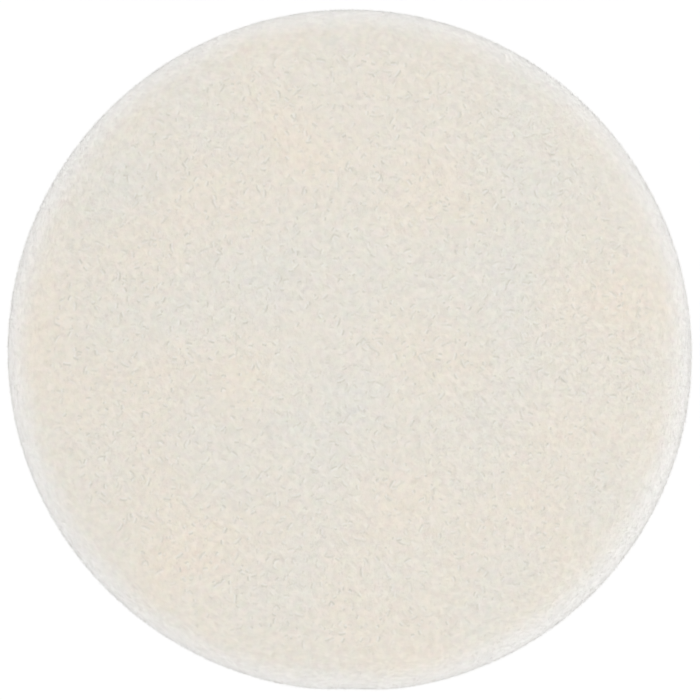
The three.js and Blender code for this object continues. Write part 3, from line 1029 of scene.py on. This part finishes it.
def wadding_section():
    edge = FACE_RADIUS - RIM_REACH
    return np.vstack([
        crown_curve(edge, WADDING_BOTTOM, 0, SECTION_STEPS),
        [(edge + WADDING_EDGE / 2, WADDING_BOTTOM + WADDING_EDGE / 2)],
        crown_curve(edge, WADDING_BOTTOM + WADDING_EDGE, FACE_CROWN, SECTION_STEPS)[::-1],
    ])


foam = turned_piece("foam_pad", foam_section(), foam_material())
finish_piece(foam, "foam_core")
wadding = turned_piece("wadding_pad", wadding_section(), wadding_material())
finish_piece(wadding, "face_wadding")


# Threads

def thread_tree():
    """Twists two plies along a run of thread. The plies touch, and each is half as thick as the thread."""
    tree, given, result = new_tree(
        "Two-ply thread",
        "GeometryNodeTree",
        [
            ("Run", "Geometry", None),
            ("Diameter", "Float", THREAD_DIAMETER),
            ("Twist Length", "Float", TWIST_LENGTH),
            ("Step", "Float", THREAD_STEP),
            ("Material", "Material", None),
        ],
        [("Thread", "Geometry")],
    )
    line = add_node(tree, "GeometryNodeMeshToCurve", {"Mesh": given["Run"]}).outputs[0]
    even = add_node(
        tree, "GeometryNodeResampleCurve", {"Curve": line, "Length": given["Step"]}, mode="LENGTH"
    ).outputs[0]
    travelled = add_node(tree, "GeometryNodeSplineParameter").outputs["Length"]
    turns = maths(tree, "DIVIDE", maths(tree, "MULTIPLY", travelled, 2 * math.pi), given["Twist Length"])
    twisted = add_node(tree, "GeometryNodeSetCurveTilt", {"Curve": even, "Tilt": turns}).outputs[0]
    quarter = maths(tree, "MULTIPLY", given["Diameter"], 0.25)
    circle = add_node(
        tree, "GeometryNodeCurvePrimitiveCircle", {"Resolution": PLY_SIDES, "Radius": quarter}
    ).outputs[0]
    plies = tree.nodes.new("GeometryNodeJoinGeometry")
    for side in (1.0, -1.0):
        offset = add_node(
            tree, "ShaderNodeCombineXYZ", {0: maths(tree, "MULTIPLY", quarter, side)}
        ).outputs[0]
        ply = add_node(tree, "GeometryNodeTransform", {"Geometry": circle, "Translation": offset})
        tree.links.new(ply.outputs[0], plies.inputs[0])
    thread = add_node(
        tree,
        "GeometryNodeCurveToMesh",
        {"Curve": twisted, "Profile Curve": plies.outputs[0], "Fill Caps": True},
    ).outputs[0]
    smooth = add_node(tree, "GeometryNodeSetShadeSmooth", {"Geometry": thread}).outputs[0]
    finish_tree(tree, smooth, given["Material"], result["Thread"])
    return tree


def rounded(route):
    """A smooth line through the middles of a route's runs, which bends round its corners."""
    middles = (route[1:] + route[:-1]) / 2
    line = [route[0]]
    for start, corner, end in zip(middles[:-1], route[1:-1], middles[1:]):
        for share in np.linspace(0, 1, ROUNDING_STEPS, endpoint=False):
            line.append((1 - share) ** 2 * start + 2 * share * (1 - share) * corner + share**2 * end)
    line.append(middles[-1])
    line.append(route[-1])
    return np.array(line)


def polar(radius, angle, height):
    return (radius * math.cos(angle), radius * math.sin(angle), height)


def seam_route(stitch):
    """Repeats one stitch's corners, as share of the stitch, radius and height, round the seam."""
    start = CLOSING_MIDDLE + CLOSING_HALF_ANGLE
    sweep = 2 * math.pi - 2 * CLOSING_HALF_ANGLE
    count = round(sweep * RAW_EDGE_RADIUS / STITCH_PITCH)
    return np.array([
        polar(radius, start + sweep * (number + share) / count, height)
        for number in range(count)
        for share, radius, height in stitch
    ])


def needle_stitch():
    """A slow wave along the needle line."""
    heights = (THREAD_HEIGHT, THREAD_HEIGHT + NEEDLE_WAVE)
    return [(share, NEEDLE_RADIUS, height) for share, height in zip(NEEDLE_SHARES, heights)]


def looper_stitch(side, shift):
    """From the needle line over the raw edge and back, on one side of the seam's plane."""
    face = side * THREAD_HEIGHT
    over_edge = side * (FLANGE_FACE + THREAD_DIAMETER / 2)
    radii = (LOOPER_TURN_RADIUS, EDGE_THREAD_RADIUS, EDGE_THREAD_RADIUS, EDGE_THREAD_RADIUS)
    heights = (face, face, over_edge, face)
    return [(shift + share, radius, height) for share, radius, height in zip(LOOPER_SHARES, radii, heights)]


def ladder_route():
    """Runs along one cover's fold, then rungs across the seam to the other."""
    radius = FACE_RADIUS - LADDER_INSET
    runs = round(CLOSING_WIDTH / LADDER_RUN)
    route = []
    for run in range(runs):
        height = (LADDER_RUNG if run % 2 == 0 else -LADDER_RUNG) / 2
        middle = (run + 0.5 - runs / 2) * LADDER_RUN
        start = middle - LADDER_RUN / 2 + (0 if run == 0 else LADDER_TURN)
        end = middle + LADDER_RUN / 2 - (0 if run == runs - 1 else LADDER_TURN)
        route += [polar(radius, CLOSING_MIDDLE + place / radius, height) for place in (start, end)]
    return np.array(route)


def thread_piece(name, node, route, diameter):
    points = placed(rounded(route))
    run = bpy.data.meshes.new(name + "_run")
    run.from_pydata([tuple(p) for p in points], [(i, i + 1) for i in range(len(points) - 1)], [])
    base = in_scene(run.name, run)
    piece = grown(name, base, twine, Diameter=diameter, Material=sewing_thread)
    bpy.data.objects.remove(base)
    finish_piece(piece, node)
    return piece


twine = thread_tree()
sewing_thread = thread_material()
above = looper_stitch(1, 0)
below = looper_stitch(-1, LOOPER_SHIFT)
thread_piece("needle_thread", "seam_needle_thread", seam_route(needle_stitch()), THREAD_DIAMETER)
thread_piece("looper_thread_above", "upper_looper_thread", seam_route(above), THREAD_DIAMETER)
thread_piece("looper_thread_below", "lower_looper_thread", seam_route(below), THREAD_DIAMETER)
thread_piece("ladder_stitch", "closing_thread", ladder_route(), CLOSING_THREAD_DIAMETER)


# Band

def band_end(side, across):
    """Rows of places across the band, from one tucked end round the rim to its lowest line."""
    tuck, corner, under = band_section()
    lowest = np.argmin(arched(np.column_stack([side * under[:, 0], 0 * under[:, 0], under[:, 1]]))[:, 2])
    under = under[:lowest + 1]
    line = np.vstack([tuck, corner, under])
    level = np.concatenate([np.zeros(len(tuck) + len(corner)), np.linspace(0, 1, len(under) + 1)[1:]])
    rows = []
    for (radius, height), share in zip(line, level):
        x = side * np.sqrt(radius**2 - across**2)
        row = arched(np.column_stack([x, across, height + 0 * across]))
        middle = arched(np.array([(side * radius, 0, height)]))[0]
        row[:, 2] += (middle[2] - row[:, 2]) * share
        rows.append(row)
    return np.array(rows)


def band_rows():
    """The band's middle surface from its right end to its left, level between the two rims."""
    across = np.linspace(-BAND_WIDTH / 2, BAND_WIDTH / 2, BAND_COLUMNS + 1)
    right = band_end(1, across)
    left = band_end(-1, across)[::-1]
    level = BAND_THICKNESS / 2 - PLACE[2]
    right[-1, :, 2] = level
    left[0, :, 2] = level
    share = np.linspace(0, 1, BAND_MIDDLE_STEPS + 1)[1:-1, None, None]
    middle = right[-1] * (1 - share) + left[0] * share
    return np.concatenate([right, middle, left]) + PLACE


def satin_band():
    rows = band_rows()
    steps, columns = rows.shape[:2]
    piece = mesh_piece("satin_band", rows.reshape(-1, 3), grid_faces(steps, columns))
    run = np.linalg.norm(np.diff(rows[:, columns // 2], axis=0), axis=1)
    travelled = np.concatenate([[0], np.cumsum(run)])
    across = np.linspace(0, BAND_WIDTH, columns)
    flat = np.stack(np.broadcast_arrays(travelled[:, None], across), axis=-1).reshape(-1, 2)
    map_corners(piece.data, "Weave", flat)
    solid = piece.modifiers.new("Thickness", "SOLIDIFY")
    solid.thickness = BAND_THICKNESS - 2 * BAND_PRESSED
    solid.offset = 0
    piece.data.materials.append(satin_material())
    finish_piece(piece, "finger_band")


satin_band()


# Stage

def seen_directly(tree):
    """Whether a ray comes from the camera or from a shiny reflection, and so sees the white studio."""
    ray = add_node(tree, "ShaderNodeLightPath").outputs
    return maths(tree, "MAXIMUM", ray["Is Camera Ray"], ray["Is Glossy Ray"])


def white_floor():
    """A floor that looks white and keeps a faint shadow, and that throws back light as pale paint does."""
    corners = [(x * FLOOR_REACH, y * FLOOR_REACH, 0) for x, y in ((-1, -1), (1, -1), (1, 1), (-1, 1))]
    floor = mesh_piece("floor", corners, [(0, 1, 2, 3)])
    material, tree, shader = new_material("white floor")
    seen = seen_directly(tree)
    paint = add_node(
        tree, "ShaderNodeMapRange", {"Value": seen, "To Min": FLOOR_PAINT, "To Max": FLOOR_PAINT_SEEN}
    ).outputs[0]
    tree.links.new(paint, shader["Base Color"])
    tree.links.new(maths(tree, "MULTIPLY", seen, FLOOR_GLOW_SEEN), shader["Emission Strength"])
    set_values(shader, Emission_Color=(1, 1, 1, 1), Roughness=0.9)
    floor.data.materials.append(material)


def studio_sky():
    """White where it is seen. Most of its light comes from the horizon, as from a light tent's walls."""
    world = bpy.data.worlds.new("studio")
    bpy.context.scene.world = world
    world.use_nodes = True
    tree = world.node_tree
    tree.nodes.clear()
    place = add_node(tree, "ShaderNodeTexCoord").outputs["Generated"]
    up = add_node(tree, "ShaderNodeSeparateXYZ", {0: place}).outputs["Z"]
    sky = add_node(
        tree, "ShaderNodeMapRange", {"Value": up, "To Min": HORIZON_LIGHT, "To Max": ZENITH_LIGHT}
    ).outputs[0]
    strength = add_node(tree, "ShaderNodeMix", {0: seen_directly(tree), 2: sky, 3: 1.0}, data_type="FLOAT")
    light = add_node(
        tree, "ShaderNodeBackground", {"Color": (1, 1, 1, 1), "Strength": strength.outputs[0]}
    )
    output = tree.nodes.new("ShaderNodeOutputWorld")
    tree.links.new(light.outputs[0], output.inputs["Surface"])


def softboxes():
    for name, (place, size, power) in SOFTBOXES.items():
        data = bpy.data.lights.new(name, "AREA")
        data.shape = "SQUARE"
        data.size = size
        data.energy = power
        lamp = in_scene(name, data)
        lamp.location = place
        lamp.rotation_euler = (-Vector(place)).to_track_quat("-Z", "Y").to_euler()
        lamp.visible_camera = False


def camera():
    """Looks straight down on the powder face, which fills the picture as in the photograph."""
    pixel = 2 * FACE_RADIUS / FACE_PIXELS
    x, y = CAMERA_SHIFT_PIXELS
    data = bpy.data.cameras.new("camera")
    data.sensor_width = SENSOR_WIDTH
    data.lens = SENSOR_WIDTH * CAMERA_DISTANCE / (PICTURE_PIXELS * pixel)
    piece = in_scene("camera", data)
    piece.location = (x * pixel, y * pixel, PLACE[2] + LIP_HEIGHT + CAMERA_DISTANCE)
    bpy.context.scene.camera = piece
    bpy.context.scene.view_settings.view_transform = "Standard"


white_floor()
studio_sky()
softboxes()
camera()
